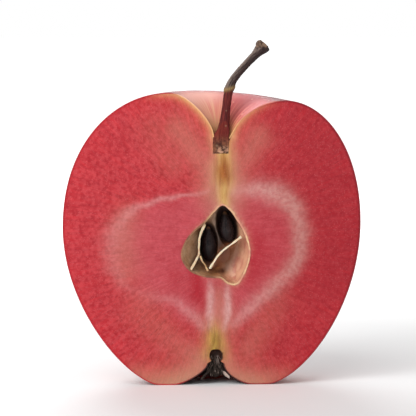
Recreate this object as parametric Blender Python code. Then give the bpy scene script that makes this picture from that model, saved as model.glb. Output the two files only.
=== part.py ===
"""Half of a red-fleshed apple, cut lengthwise, standing on the lobes of its calyx end.

The cut face is upright and looks along -Y. The numbers below are millimetres, measured
with the cut face at y = 0, the middle of the apple's width at x = 0 and its feet at z = 0.
"""
import math

import bmesh
import bpy
from mathutils import Vector, noise

MM = 0.001
GAP = 0.3

# Outline of the cut face: five stations down each side, as (out from the middle, height).
LEFT_STATIONS = {
    "pit": (-0.55, 60.4),
    "rim": (10.2, 70.9),
    "waist": (36.0, 38.5),
    "foot": (11.4, -0.3),
    "eye": (0.9, 5.2),
}
RIGHT_STATIONS = {
    "pit": (4.85, 60.4),
    "rim": (17.5, 69.0),
    "waist": (36.1, 39.5),
    "foot": (11.9, -0.3),
    "eye": (2.8, 5.2),
}
# How far each arc between two stations keeps the direction of its two ends.
LEFT_PULLS = {
    "hollow": (0.28, 0.45),
    "shoulder": (0.52, 0.62),
    "flank": (0.50, 0.36),
    "basin": (0.50, 0.30),
}
RIGHT_PULLS = {
    "hollow": (0.30, 0.60),
    "shoulder": (0.55, 0.58),
    "flank": (0.52, 0.42),
    "basin": (0.55, 0.45),
}
ARC_STEPS = {"hollow": 9, "shoulder": 15, "flank": 18, "basin": 9}
TURN_STEPS = 40

# Socket that the stem grows from, and the calyx tube above the eye, as (radius, height).
SOCKET_RINGS = ((1.45, 56.2), (2.05, 56.8))
TUBE_RINGS = ((1.10, 5.9), (1.45, 6.7), (1.50, 7.6), (1.00, 8.5))
TUBE_TOP = 8.8
TUBE_X = 0.95

# The side away from the cut: its depth against the width, how fast its own shape fades
# towards the cut, its five lobes, its wider and lower foot, and its unevenness.
DEPTH_RATIO = 0.985
FADE_POWER = 6
LOBE_COUNT = 5
LOBE_SWELL = 0.006
LOBE_SWELL_LOW = 0.024
LOBE_GROOVE = 1.1
BACK_RIM_RISE = 0.9
BACK_FOOT_STRETCH = 0.34
BACK_FOOT_DROP = 0.7
UNEVEN_BY = 0.26
UNEVEN_SIZE = 14.0

# Mouth of the core hollow on the cut face, as (x, z), and the bowl behind it, as
# (depth, share of the mouth's size).
CORE_MOUTH = (
    (2.6, 43.8), (4.9, 41.6), (7.5, 37.8), (9.0, 33.0), (8.4, 28.9), (6.3, 24.9),
    (4.0, 24.9), (2.2, 26.3), (-0.9, 26.5), (-4.3, 27.5), (-6.3, 29.3), (-7.2, 31.8),
    (-6.1, 35.1), (-3.9, 37.7), (-1.9, 39.2), (0.2, 41.7),
)
CORE_MIDDLE = (1.3, 33.0)
CORE_BOWL = ((-1.0, 1.0), (0.0, 1.0), (1.4, 0.965), (2.8, 0.87), (4.0, 0.70), (4.8, 0.45))

# Seeds: pointed end up, as the middle (x, y, z), half sizes and the lean of the point.
SEEDS = {
    "seed_left": {"middle": (-0.5, 4.7, 34.0), "half": (2.05, 1.25, 4.3), "lean": -0.04},
    "seed_right": {"middle": (3.9, 5.3, 38.0), "half": (2.0, 1.2, 3.85), "lean": -0.14},
}
SEED_TAPER = 0.55
SEED_TAPER_FROM = -0.25
# Each seed lies in a locule, an egg-shaped recess that opens into the core hollow.
LOCULE_ROOM = (1.0, 2.1)
LOCULE_REACH = 4.6

# Papery walls of the core: the route of each front edge on the cut face, as (x, z),
# and how thick and how deep each wall is.
PAPER_WALLS = {
    "core_wall_left": {
        "route": (
            (-1.9, 38.0), (-2.7, 36.6), (-3.1, 34.5), (-3.2, 31.6), (-4.2, 29.9), (-5.0, 28.7),
        ),
        "thick": 0.6,
        "deep": 2.7,
    },
    "core_wall_fork": {
        "route": ((-2.65, 31.0), (-2.0, 29.6), (-1.1, 28.1)),
        "thick": 0.5,
        "deep": 2.3,
    },
    "core_membrane": {
        "route": ((6.5, 35.4), (4.6, 34.1), (2.8, 32.7), (1.3, 31.2), (0.2, 28.9)),
        "thick": 0.5,
        "deep": 2.6,
    },
}
WALL_FRONT = 0.1
WALL_END_DEPTH = 0.42
WALL_TAPER = (1.0, 0.8, 0.6)

# Stem: stations from its sliced foot to its knobbed tip, as (x, y, z, radius).
STEM_STATIONS = (
    (2.70, 0.00, 56.6, 1.20),
    (2.70, 0.00, 57.1, 1.72),
    (2.72, 0.05, 58.6, 1.85),
    (2.78, 0.35, 60.6, 1.72),
    (2.95, 0.95, 62.4, 1.40),
    (3.20, 1.50, 64.6, 1.15),
    (3.65, 1.95, 67.8, 1.05),
    (4.05, 2.30, 70.6, 1.05),
    (4.40, 2.50, 71.9, 1.15),
    (5.40, 2.90, 74.0, 1.00),
    (7.30, 3.30, 76.3, 0.95),
    (9.60, 3.70, 78.7, 0.98),
    (11.10, 3.95, 80.3, 1.15),
    (12.10, 4.10, 81.4, 1.75),
    (12.75, 4.20, 82.1, 1.90),
    (13.05, 4.25, 82.4, 1.65),
)
STEM_SIDES = 16
STEM_RINGS_PER_SPAN = 2

# Dried sepals round the calyx tube: the turn of each, and its spine as (out, height).
SEPAL_TURNS = (20.0, 90.0, 160.0)
SEPAL_SPINE = ((0.75, 5.0), (1.1, 4.1), (1.7, 3.1), (2.6, 2.1), (3.7, 1.2))
SEPAL_HALF_WIDTHS = (0.25, 0.45, 0.90, 1.05, 0.30)
SEPAL_THICK = 0.45
SEPAL_CUP = 0.2

COLOURS = {
    "skin": ((0.33, 0.010, 0.025), 0.30),
    "flesh": ((0.58, 0.085, 0.095), 0.45),
    "stem": ((0.060, 0.022, 0.014), 0.70),
    "seed": ((0.018, 0.009, 0.008), 0.25),
    "paper_wall": ((0.62, 0.42, 0.20), 0.55),
    "sepal": ((0.070, 0.050, 0.040), 0.85),
}


def clear_scene():
    """Removes whatever the scene holds."""
    for obj in list(bpy.data.objects):
        bpy.data.objects.remove(obj, do_unlink=True)


def plain_material(name):
    """A Principled material with one of the colours above."""
    colour, roughness = COLOURS[name]
    material = bpy.data.materials.new(name)
    material.use_nodes = True
    shader = material.node_tree.nodes["Principled BSDF"]
    shader.inputs["Base Color"].default_value = (*colour, 1.0)
    shader.inputs["Roughness"].default_value = roughness
    shader.inputs["Metallic"].default_value = 0.0
    return material


def mesh_object(name, bm, material, cutter=False):
    """Puts a bmesh built in millimetres into the scene as a named object in metres."""
    bmesh.ops.recalc_face_normals(bm, faces=bm.faces)
    bmesh.ops.scale(bm, vec=(MM, MM, MM), verts=bm.verts)
    mesh = bpy.data.meshes.new(name)
    bm.to_mesh(mesh)
    bm.free()
    mesh.shade_smooth()
    mesh.set_sharp_from_angle(angle=math.radians(40))
    obj = bpy.data.objects.new(name, mesh)
    bpy.context.collection.objects.link(obj)
    if material:
        mesh.materials.append(material)
    if cutter:
        obj.hide_render = True
        obj.display_type = "WIRE"
    return obj


def cut(obj, cutter):
    """Takes the cutter's shape out of the object."""
    boolean = obj.modifiers.new("cut_" + cutter.name, "BOOLEAN")
    boolean.operation = "DIFFERENCE"
    boolean.solver = "EXACT"
    boolean.object = cutter


def block(name, low, high):
    """A box-shaped cutter between two corners."""
    bm = bmesh.new()
    bmesh.ops.create_cube(bm, size=1.0)
    for vert in bm.verts:
        vert.co = Vector(low[i] if vert.co[i] < 0 else high[i] for i in range(3))
    return mesh_object(name, bm, None, cutter=True)


def smooth_route(points, steps, closed=False):
    """Points of a Catmull-Rom curve through the given ones, of any number of values each."""
    count = len(points)
    spans = count if closed else count - 1
    route = []
    for span in range(spans):
        near = []
        for k in (-1, 0, 1, 2):
            i = span + k
            near.append(points[i % count] if closed else points[min(max(i, 0), count - 1)])
        for step in range(steps):
            t = step / steps
            route.append(tuple(
                0.5 * (2 * b + (c - a) * t + (2 * a - 5 * b + 4 * c - d) * t ** 2
                       + (3 * b - a - 3 * c + d) * t ** 3)
                for a, b, c, d in zip(*near)
            ))
    if not closed:
        route.append(tuple(float(value) for value in points[-1]))
    return route


def join_rings(bm, rings):
    """Faces between rings of equally many vertices, with a flat face on either end."""
    for first, second in zip(rings, rings[1:]):
        for i in range(len(first)):
            j = (i + 1) % len(first)
            bm.faces.new((first[i], first[j], second[j], second[i]))
    bm.faces.new(rings[0])
    bm.faces.new(rings[-1])


def arc(start, end, level_first, pulls, steps):
    """A curve that leaves one station level or upright and reaches the next the other way."""
    reach = (end[0] - start[0], end[1] - start[1])
    if level_first:
        first = (start[0] + reach[0] * pulls[0], start[1])
        second = (end[0], end[1] - reach[1] * pulls[1])
    else:
        first = (start[0], start[1] + reach[1] * pulls[0])
        second = (end[0] - reach[0] * pulls[1], end[1])
    points = []
    for step in range(steps):
        t = step / steps
        weights = ((1 - t) ** 3, 3 * t * (1 - t) ** 2, 3 * t * t * (1 - t), t ** 3)
        corners = (start, first, second, end)
        points.append(tuple(sum(w * c[i] for w, c in zip(weights, corners)) for i in (0, 1)))
    return points


def side_profile(stations, pulls):
    """One side of the cut face's outline, from the pit round to the eye."""
    order = (
        ("hollow", "pit", "rim", False),
        ("shoulder", "rim", "waist", True),
        ("flank", "waist", "foot", False),
        ("basin", "foot", "eye", True),
    )
    profile = []
    for name, start, end, level_first in order:
        profile += arc(stations[start], stations[end], level_first, pulls[name], ARC_STEPS[name])
    return profile + [stations["eye"]]


def clamp(value):
    return min(max(value, 0.0), 1.0)


def skin_point(turn, left, right):
    """A point of the skin, turned from the right edge of the cut (0) to its left edge (pi)."""
    across, behind = math.cos(turn), abs(math.sin(turn))
    toward_right = (1 + across) / 2
    middle = (right[0] - left[0]) / 2
    radius = (right[0] + left[0]) / 2
    height = left[1] + (right[1] - left[1]) * toward_right

    waist, rim = LEFT_STATIONS["waist"][1], LEFT_STATIONS["rim"][1]
    low = clamp((waist - height) / waist)
    high = clamp((height - waist) / (rim - waist))
    away = 1 - abs(across) ** FADE_POWER
    lobe = away * math.cos(LOBE_COUNT * (turn - math.pi / 2))
    swell = 1 + lobe * (LOBE_SWELL + LOBE_SWELL_LOW * low ** 1.5)
    depth = radius * DEPTH_RATIO * (1 + BACK_FOOT_STRETCH * low ** 4 * behind ** 2)

    point = Vector((middle + radius * across * swell, depth * behind * swell, height))
    point.z += LOBE_GROOVE * low ** 4 * (away - lobe) / 2
    point.z -= BACK_FOOT_DROP * low ** 8 * behind ** 8
    point.z += BACK_RIM_RISE * high ** 3 * behind ** 2
    uneven = noise.noise_vector(point / UNEVEN_SIZE) * UNEVEN_BY * away * behind
    return point + uneven * clamp(radius / RIGHT_STATIONS["foot"][0])


def ring_point(turn, middle, radius, height):
    """A point of a round ring about an upright line in the plane of the cut."""
    return Vector((middle + radius * math.cos(turn), radius * abs(math.sin(turn)), height))


def make_apple(skin, flesh):
    """The half fruit: skin outside, with the stem's hollow and the calyx basin, and the cut face."""
    left = side_profile(LEFT_STATIONS, LEFT_PULLS)
    right = side_profile(RIGHT_STATIONS, RIGHT_PULLS)
    pit_x = (RIGHT_STATIONS["pit"][0] - LEFT_STATIONS["pit"][0]) / 2
    turns = [math.pi * i / TURN_STEPS for i in range(TURN_STEPS + 1)]

    bm = bmesh.new()
    rows = [[ring_point(turn, pit_x, *ring) for turn in turns] for ring in SOCKET_RINGS]
    for left_point, right_point in zip(left, right):
        rows.append([skin_point(turn, left_point, right_point) for turn in turns])
    for radius, height in TUBE_RINGS:
        rows.append([ring_point(turn, TUBE_X, radius, height) for turn in turns])
    for row in rows:
        row[0].y = row[-1].y = 0.0
    grid = [[bm.verts.new(point) for point in row] for row in rows]
    socket_middle = bm.verts.new((pit_x, 0.0, SOCKET_RINGS[0][1]))
    tube_end = bm.verts.new((TUBE_X, 0.0, TUBE_TOP))
    for i in range(TURN_STEPS):
        bm.faces.new((socket_middle, grid[0][i], grid[0][i + 1]))
        bm.faces.new((tube_end, grid[-1][i + 1], grid[-1][i]))
        for upper, lower in zip(grid, grid[1:]):
            bm.faces.new((upper[i], upper[i + 1], lower[i + 1], lower[i]))
    outline = [row[0] for row in grid] + [tube_end] + [row[-1] for row in reversed(grid)]
    face = bm.faces.new(outline + [socket_middle])
    face.material_index = 1

    apple = mesh_object("apple_half", bm, skin)
    apple.data.materials.append(flesh)
    return apple


def make_core_cutter():
    """The bowl of the open core, whose mouth is the outline on the cut face."""
    mouth = smooth_route(CORE_MOUTH, 3, closed=True)
    bm = bmesh.new()
    rings = []
    for depth, share in CORE_BOWL:
        ring = []
        for x, z in mouth:
            out_x, out_z = x - CORE_MIDDLE[0], z - CORE_MIDDLE[1]
            ring.append(bm.verts.new((
                CORE_MIDDLE[0] + out_x * share, depth, CORE_MIDDLE[1] + out_z * share
            )))
        rings.append(ring)
    join_rings(bm, rings)
    return mesh_object("core_cutter", bm, None, cutter=True)


def make_locule_cutter(seed_name):
    """The egg-shaped recess behind one seed."""
    middle, half, lean = (SEEDS[seed_name][key] for key in ("middle", "half", "lean"))
    back = middle[1] + half[1] + 2 * GAP
    bm = bmesh.new()
    bmesh.ops.create_uvsphere(bm, u_segments=20, v_segments=14, radius=1.0)
    for vert in bm.verts:
        up = vert.co.z * (half[2] + LOCULE_ROOM[1])
        vert.co = Vector((
            middle[0] + vert.co.x * (half[0] + LOCULE_ROOM[0]) + lean * up,
            back + (vert.co.y - 1) * LOCULE_REACH,
            middle[2] + up,
        ))
    return mesh_object("locule_cutter_" + seed_name, bm, None, cutter=True)


def make_seed(name, material):
    """A flattened teardrop, blunt below and pointed above."""
    middle, half, lean = (SEEDS[name][key] for key in ("middle", "half", "lean"))
    bm = bmesh.new()
    bmesh.ops.create_uvsphere(bm, u_segments=14, v_segments=12, radius=1.0)
    for vert in bm.verts:
        up = vert.co.z
        slim = 1 - SEED_TAPER * clamp((up - SEED_TAPER_FROM) / (1 - SEED_TAPER_FROM)) ** 1.3
        vert.co = Vector((vert.co.x * half[0] * slim, vert.co.y * half[1] * slim, up * half[2]))
        vert.co.x += lean * vert.co.z
        vert.co += Vector(middle)
    return mesh_object(name, bm, material)


def make_paper_wall(name, material):
    """A thin upright wall in the core, shallow at both ends where the hollow is shallow."""
    wall = PAPER_WALLS[name]
    route = smooth_route(wall["route"], 3)
    bm = bmesh.new()
    rings = []
    for i, (x, z) in enumerate(route):
        before, after = route[max(i - 1, 0)], route[min(i + 1, len(route) - 1)]
        along = Vector((after[0] - before[0], 0, after[1] - before[1])).normalized()
        side = Vector((-along.z, 0, along.x)) * wall["thick"] / 2
        from_end = 1 - abs(2 * i / (len(route) - 1) - 1)
        deep = wall["deep"] * (WALL_END_DEPTH + (1 - WALL_END_DEPTH) * from_end ** 0.6)
        depths = (WALL_FRONT, (WALL_FRONT + deep) / 2, deep)
        above = [Vector((x, y, z)) + side * share for y, share in zip(depths, WALL_TAPER)]
        below = [Vector((x, y, z)) - side * share for y, share in zip(depths, WALL_TAPER)]
        rings.append([bm.verts.new(corner) for corner in (*above, *reversed(below))])
    join_rings(bm, rings)
    return mesh_object(name, bm, material)


def make_stem(material, front_block):
    """The woody stem: a flared foot sliced by the cut, a bend, and the knob it broke off at."""
    route = smooth_route(STEM_STATIONS, STEM_RINGS_PER_SPAN)
    bm = bmesh.new()
    rings = []
    for i, station in enumerate(route):
        middle = Vector(station[:3])
        before, after = route[max(i - 1, 0)], route[min(i + 1, len(route) - 1)]
        along = (Vector(after[:3]) - Vector(before[:3])).normalized()
        first = along.cross(Vector((0, 1, 0))).normalized()
        second = along.cross(first).normalized()
        ring = []
        for side in range(STEM_SIDES):
            angle = 2 * math.pi * side / STEM_SIDES
            offset = first * math.cos(angle) + second * math.sin(angle)
            ring.append(bm.verts.new(middle + offset * station[3]))
        rings.append(ring)
    join_rings(bm, rings)
    stem = mesh_object("stem", bm, material)
    cut(stem, front_block)
    return stem


def make_sepal(name, turn, material, front_block):
    """A dried sepal that hangs from the mouth of the calyx tube and curls outwards."""
    out_way = Vector((math.cos(turn), math.sin(turn), 0))
    across_way = Vector((-math.sin(turn), math.cos(turn), 0))
    stations = [(*spine, width) for spine, width in zip(SEPAL_SPINE, SEPAL_HALF_WIDTHS)]
    route = smooth_route(stations, 3)
    bm = bmesh.new()
    rings = []
    for i, (out, height, width) in enumerate(route):
        middle = Vector((TUBE_X, 0, height)) + out_way * out
        before, after = route[max(i - 1, 0)], route[min(i + 1, len(route) - 1)]
        along = (out_way * (after[0] - before[0]) + Vector((0, 0, after[1] - before[1]))).normalized()
        thick = along.cross(across_way).normalized() * SEPAL_THICK / 2
        across = across_way * width
        cup = thick.normalized() * SEPAL_CUP
        spine_and_edges = (middle - across + cup, middle, middle + across + cup)
        upper = [point + thick for point in spine_and_edges]
        lower = [point - thick for point in reversed(spine_and_edges)]
        rings.append([bm.verts.new(corner) for corner in (*upper, *lower)])
    join_rings(bm, rings)
    sepal = mesh_object(name, bm, material)
    cut(sepal, front_block)
    return sepal


clear_scene()
materials = {name: plain_material(name) for name in COLOURS}

floor_block = block("floor_cutter", (-60, -20, -20), (60, 60, 0))
front_block = block("front_cutter", (-60, -20, -20), (60, 0, 120))
core_cutter = make_core_cutter()
locule_cutters = [make_locule_cutter(name) for name in SEEDS]

apple = make_apple(materials["skin"], materials["flesh"])
for cutter in (core_cutter, *locule_cutters, floor_block):
    cut(apple, cutter)

pieces = [apple, make_stem(materials["stem"], front_block)]
pieces += [make_seed(name, materials["seed"]) for name in SEEDS]
pieces += [make_paper_wall(name, materials["paper_wall"]) for name in PAPER_WALLS]
for number, degrees in enumerate(SEPAL_TURNS, start=1):
    pieces.append(
        make_sepal(f"sepal_{number}", math.radians(degrees), materials["sepal"], front_block)
    )

# Everything hangs from one empty, which sets the middle of the depth at y = 0.
back = max(vert.co.y for vert in apple.data.vertices)
frame = bpy.data.objects.new("apple_frame", None)
bpy.context.collection.objects.link(frame)
frame.location.y = -back / 2
for obj in (*pieces, floor_block, front_block, core_cutter, *locule_cutters):
    obj.parent = frame
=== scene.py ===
import math

import bpy
import numpy as np
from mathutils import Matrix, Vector, noise
from mathutils.bvhtree import BVHTree


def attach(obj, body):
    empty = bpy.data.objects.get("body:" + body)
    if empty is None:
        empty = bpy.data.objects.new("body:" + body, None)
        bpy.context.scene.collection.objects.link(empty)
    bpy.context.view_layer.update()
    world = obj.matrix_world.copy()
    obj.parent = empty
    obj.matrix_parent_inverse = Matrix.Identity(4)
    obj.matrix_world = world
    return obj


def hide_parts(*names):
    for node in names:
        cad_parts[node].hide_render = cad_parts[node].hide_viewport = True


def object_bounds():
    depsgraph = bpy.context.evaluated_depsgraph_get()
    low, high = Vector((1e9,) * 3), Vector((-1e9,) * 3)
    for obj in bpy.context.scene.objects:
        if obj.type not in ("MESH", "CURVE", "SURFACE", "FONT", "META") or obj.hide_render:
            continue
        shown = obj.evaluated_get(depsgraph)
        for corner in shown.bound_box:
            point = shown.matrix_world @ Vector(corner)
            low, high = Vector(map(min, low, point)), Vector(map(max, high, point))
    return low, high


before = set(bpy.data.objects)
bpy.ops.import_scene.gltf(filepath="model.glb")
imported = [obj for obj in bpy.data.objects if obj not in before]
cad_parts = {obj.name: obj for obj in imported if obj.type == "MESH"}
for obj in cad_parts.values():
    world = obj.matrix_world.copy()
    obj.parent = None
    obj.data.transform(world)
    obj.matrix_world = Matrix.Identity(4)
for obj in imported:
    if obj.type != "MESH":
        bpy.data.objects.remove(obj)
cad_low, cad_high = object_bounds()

MM = 0.001

# Studio: a white floor that runs into a white room, daylight from high on the left, and
# two softboxes for the gloss. A long lens looks at the cut face from a little above it.
FLOOR_RADIUS = 6.0
GLOW_FROM, GLOW_TO, GLOW = 0.10, 0.45, 0.55
CAMERA_AZIMUTH, CAMERA_ELEVATION = -3.0, 5.0
CAMERA_LENS = 200.0
CAMERA_DISTANCE = 0.575
CAMERA_AIM = Vector((0.0, 0.0, 0.0415))
DAYLIGHT_FROM = Vector((-0.55, -0.75, 0.80))
DAYLIGHT_STRENGTH = 1.45
DAYLIGHT_SPREAD = 55.0
SKY_STRENGTH = 0.42
SOFTBOXES = {
    "left_softbox": {"at": (-0.42, -0.40, 0.36), "size": 0.30, "watts": 1.3},
    "rear_softbox": {"at": (-0.10, 0.42, 0.40), "size": 0.40, "watts": 1.6},
}


def put(tree, kind, inputs=None, **settings):
    """Adds a shader node, with its inputs set to values or linked to other nodes' outputs."""
    node = tree.nodes.new("ShaderNode" + kind)
    for setting, value in settings.items():
        setattr(node, setting, value)
    for name, value in (inputs or {}).items():
        if isinstance(value, bpy.types.NodeSocket):
            tree.links.new(value, node.inputs[name])
        else:
            node.inputs[name].default_value = value
    return node


bpy.ops.object.select_all(action="DESELECT")
bpy.ops.mesh.primitive_circle_add(vertices=96, radius=FLOOR_RADIUS, fill_type="NGON")
floor = bpy.context.object
floor.name = "studio_floor"
floor_paint = bpy.data.materials.new("studio_white")
floor_paint.use_nodes = True
floor_shader = floor_paint.node_tree.nodes["Principled BSDF"]
floor_shader.inputs["Base Color"].default_value = (0.90, 0.90, 0.90, 1)
floor_shader.inputs["Roughness"].default_value = 0.6
floor_shader.inputs["Emission Color"].default_value = (1, 1, 1, 1)
floor_tree = floor_paint.node_tree
floor_place = put(floor_tree, "TexCoord").outputs["Object"]
floor_reach = put(floor_tree, "VectorMath", {0: floor_place}, operation="LENGTH").outputs["Value"]
floor_glow = put(floor_tree, "MapRange", {
    "Value": floor_reach, "From Min": GLOW_FROM, "From Max": GLOW_TO, "To Max": GLOW,
})
floor_tree.links.new(floor_glow.outputs["Result"], floor_shader.inputs["Emission Strength"])
floor.data.materials.append(floor_paint)

sky = bpy.data.worlds.new("studio_sky")
sky.use_nodes = True
lighting = sky.node_tree.nodes["Background"]
lighting.inputs["Color"].default_value = (1, 1, 1, 1)
lighting.inputs["Strength"].default_value = SKY_STRENGTH
backdrop = put(sky.node_tree, "Background", {"Color": (1, 1, 1, 1)})
is_seen = put(sky.node_tree, "LightPath").outputs["Is Camera Ray"]
seen_or_lighting = put(sky.node_tree, "MixShader", {
    0: is_seen, 1: lighting.outputs[0], 2: backdrop.outputs[0],
})
sky_output = sky.node_tree.nodes["World Output"]
sky.node_tree.links.new(seen_or_lighting.outputs[0], sky_output.inputs["Surface"])
bpy.context.scene.world = sky
bpy.context.scene.view_settings.view_transform = "Standard"

bpy.ops.object.light_add(type="SUN")
daylight = bpy.context.object
daylight.name = "daylight"
daylight.data.energy = DAYLIGHT_STRENGTH
daylight.data.angle = math.radians(DAYLIGHT_SPREAD)
daylight.rotation_euler = (-DAYLIGHT_FROM).to_track_quat("-Z", "Y").to_euler()
for name, box in SOFTBOXES.items():
    bpy.ops.object.light_add(type="AREA", location=box["at"])
    softbox = bpy.context.object
    softbox.name = name
    softbox.data.shape = "DISK"
    softbox.data.size = box["size"]
    softbox.data.energy = box["watts"]
    softbox.rotation_euler = (CAMERA_AIM - softbox.location).to_track_quat("-Z", "Y").to_euler()

azimuth, elevation = math.radians(CAMERA_AZIMUTH), math.radians(CAMERA_ELEVATION)
toward_camera = Vector((
    math.sin(azimuth) * math.cos(elevation),
    -math.cos(azimuth) * math.cos(elevation),
    math.sin(elevation),
))
bpy.ops.object.camera_add(location=CAMERA_AIM + toward_camera * CAMERA_DISTANCE)
camera = bpy.context.object
camera.rotation_euler = (-toward_camera).to_track_quat("-Z", "Y").to_euler()
camera.data.lens = CAMERA_LENS
camera.data.clip_start = 0.01
bpy.context.scene.camera = camera

# Skin: the waxy red peel, about a fifth of a millimetre thick, grown over the whole
# fruit, down into the hollow round the stem and up into the basin round the calyx.
# Below, a place is (x, depth behind the cut, z) in millimetres.
SKIN_THICK = 0.22
CUT_Y = cad_low.y
ON_CUT = 0.02
CREASE = math.radians(50)
AXIS_X = 1.5
CORE_X, CORE_Z = 1.3, 33.0
CORE_RADIUS, CORE_DEPTH = 12.5, 12.0
PIT_X, PIT_Z = 2.15, 60.4
SOCKET_RADIUS, SOCKET_FLOOR_Z = 2.9, 50.0
SOCKET_WALL_Z, SOCKET_RING = 56.0, 0.5
STEM_GAP_REACH, STEM_GAP_DIP = 1.93, 0.5
EYE_X, EYE_Z = 0.95, 5.2
TUBE_RADIUS, TUBE_TOP_Z = 1.9, 10.0
RIM_REACH = {"left": 12.4, "right": 15.3}
FOOT_REACH = {"left": 12.3, "right": 11.0}
SKIN_MIDDLE_Z = 36.0
SKIN_WAVE, SKIN_WAVE_SIZE = 0.07, 5.0


def alone():
    """Back to object mode with nothing selected."""
    if bpy.context.object and bpy.context.object.mode != "OBJECT":
        bpy.ops.object.mode_set(mode="OBJECT")
    bpy.ops.object.select_all(action="DESELECT")


def take_up(piece):
    """Makes a piece the selected and active one."""
    alone()
    piece.select_set(True)
    bpy.context.view_layer.objects.active = piece


def edit(piece, action="SELECT"):
    """Opens a piece's mesh for editing, with all of it selected or nothing."""
    take_up(piece)
    bpy.ops.object.mode_set(mode="EDIT")
    bpy.ops.mesh.select_all(action=action)


def copy_of(node, name):
    """A copy of a solid's mesh as a new piece, with its loose triangles merged."""
    piece = bpy.data.objects.new(name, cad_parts[node].data.copy())
    bpy.context.collection.objects.link(piece)
    piece.data.materials.clear()
    edit(piece)
    bpy.ops.mesh.remove_doubles(threshold=0.002 * MM)
    bpy.ops.mesh.customdata_custom_splitnormals_clear()
    alone()
    return piece


def place(point):
    """A point of the scene as (x, depth behind the cut, z) in millimetres."""
    return point.x / MM, (point.y - CUT_Y) / MM, point.z / MM


def select_faces(piece, wanted):
    """Selects the faces that a test on their place and normal picks out, in edit mode."""
    edit(piece, "DESELECT")
    bpy.ops.mesh.select_mode(type="FACE")
    bpy.ops.object.mode_set(mode="OBJECT")
    for face in piece.data.polygons:
        face.select = wanted(*place(face.center), face.normal)
    bpy.ops.object.mode_set(mode="EDIT")


def delete_faces(piece, unwanted):
    select_faces(piece, unwanted)
    bpy.ops.mesh.delete(type="FACE")
    alone()


def modify(piece, kind, **settings):
    """Adds a modifier to a piece and applies it."""
    take_up(piece)
    modifier = piece.modifiers.new(kind.lower(), kind)
    for setting, value in settings.items():
        setattr(modifier, setting, value)
    bpy.ops.object.modifier_apply(modifier=modifier.name)


def subdivide(piece, levels):
    modify(piece, "SUBSURF", levels=levels, render_levels=levels)


def places_of(piece):
    """A piece's vertices as arrays of x, depth and z in millimetres."""
    flat = np.empty(len(piece.data.vertices) * 3, np.float32)
    piece.data.vertices.foreach_get("co", flat)
    x, y, z = flat.reshape(-1, 3).T.astype(float)
    return x / MM, (y - CUT_Y) / MM, z / MM


def put_places(piece, x, depth, z):
    flat = np.stack((x * MM, depth * MM + CUT_Y, z * MM), axis=1)
    piece.data.vertices.foreach_set("co", flat.astype(np.float32).ravel())
    piece.data.update()


def normals_of(piece):
    flat = np.empty(len(piece.data.vertices) * 3, np.float32)
    piece.data.vertex_normals.foreach_get("vector", flat)
    return flat.reshape(-1, 3).T.astype(float)


def waves(x, depth, z, size):
    """Smooth unevenness between about -1 and 1, whose swells are about this many millimetres."""
    return np.array([noise.noise(Vector(point) / size) for point in zip(x, depth, z)])


def write_mask(piece, name, values):
    mask = piece.data.attributes.new(name, "FLOAT", "POINT")
    mask.data.foreach_set("value", np.asarray(values, np.float32))


def write_grain(piece, around_x, around_y, along):
    """The way a pattern runs on a piece: a direction round it, and how far along it."""
    grain = piece.data.attributes.new("grain", "FLOAT_VECTOR", "POINT")
    flat = np.stack((around_x, around_y, along), axis=1)
    grain.data.foreach_set("vector", flat.astype(np.float32).ravel())


def smooth_between(low, high, value):
    share = np.clip((value - low) / (high - low), 0, 1)
    return share * share * (3 - 2 * share)


def linear(colour):
    """A colour as it looks on a screen, each part 0 to 255, in the shader's linear values."""
    return (*(((part / 255 + 0.055) / 1.055) ** 2.4 for part in colour), 1.0)


def tree_of(*values):
    """The node tree of the first socket among some values."""
    return next(value.id_data for value in values if isinstance(value, bpy.types.NodeSocket))


def calc(operation, first, second):
    tree = tree_of(first, second)
    return put(tree, "Math", {0: first, 1: second}, operation=operation).outputs[0]


def times(first, second):
    return calc("MULTIPLY", first, second)


def fade(value, low, high, to_low=0.0, to_high=1.0):
    """A value eased from one range into another, and held at its ends."""
    inputs = {"Value": value, "From Min": low, "From Max": high, "To Min": to_low, "To Max": to_high}
    node = put(value.id_data, "MapRange", inputs, interpolation_type="SMOOTHSTEP")
    return node.outputs["Result"]


def tint(share, under, over):
    """One colour laid over another by a share. A plain colour is as it looks on a screen."""
    tree = tree_of(share, under, over)
    mix = put(tree, "Mix", {0: share}, data_type="RGBA")
    for socket, colour in ((mix.inputs[6], under), (mix.inputs[7], over)):
        if isinstance(colour, bpy.types.NodeSocket):
            tree.links.new(colour, socket)
        else:
            socket.default_value = linear(colour)
    return mix.outputs[2]


def effect(name, inputs, build):
    """A node group with a vector and named numbers going in and one mask coming out."""
    group = bpy.data.node_groups.new(name, "ShaderNodeTree")
    group.interface.new_socket("Vector", in_out="INPUT", socket_type="NodeSocketVector")
    for label, value in inputs.items():
        socket = group.interface.new_socket(label, in_out="INPUT", socket_type="NodeSocketFloat")
        socket.default_value = value
    group.interface.new_socket("Mask", in_out="OUTPUT", socket_type="NodeSocketFloat")
    given = group.nodes.new("NodeGroupInput").outputs
    mask = build(group, given)
    group.links.new(mask, group.nodes.new("NodeGroupOutput").inputs["Mask"])
    return group


def spread_out(value, spread):
    """Noise about one half, made to run from 0 to 1 within this much of it."""
    return fade(value, calc("SUBTRACT", 0.5, spread), calc("ADD", 0.5, spread))


def build_mottle(group, given):
    cloud = put(group, "TexNoise", {
        "Vector": given["Vector"], "Scale": given["Fineness"], "Detail": 4.0, "Roughness": 0.6,
    })
    return spread_out(cloud.outputs["Fac"], given["Spread"])


def build_streaks(group, given):
    scale = put(group, "CombineXYZ", {"X": given["Across"], "Y": given["Across"], "Z": given["Along"]})
    drawn = put(group, "VectorMath", {0: given["Vector"], 1: scale.outputs[0]}, operation="MULTIPLY")
    cloud = put(group, "TexNoise", {
        "Vector": drawn.outputs[0], "Scale": 1.0, "Detail": 3.0, "Roughness": 0.55,
    })
    return spread_out(cloud.outputs["Fac"], given["Spread"])


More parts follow.
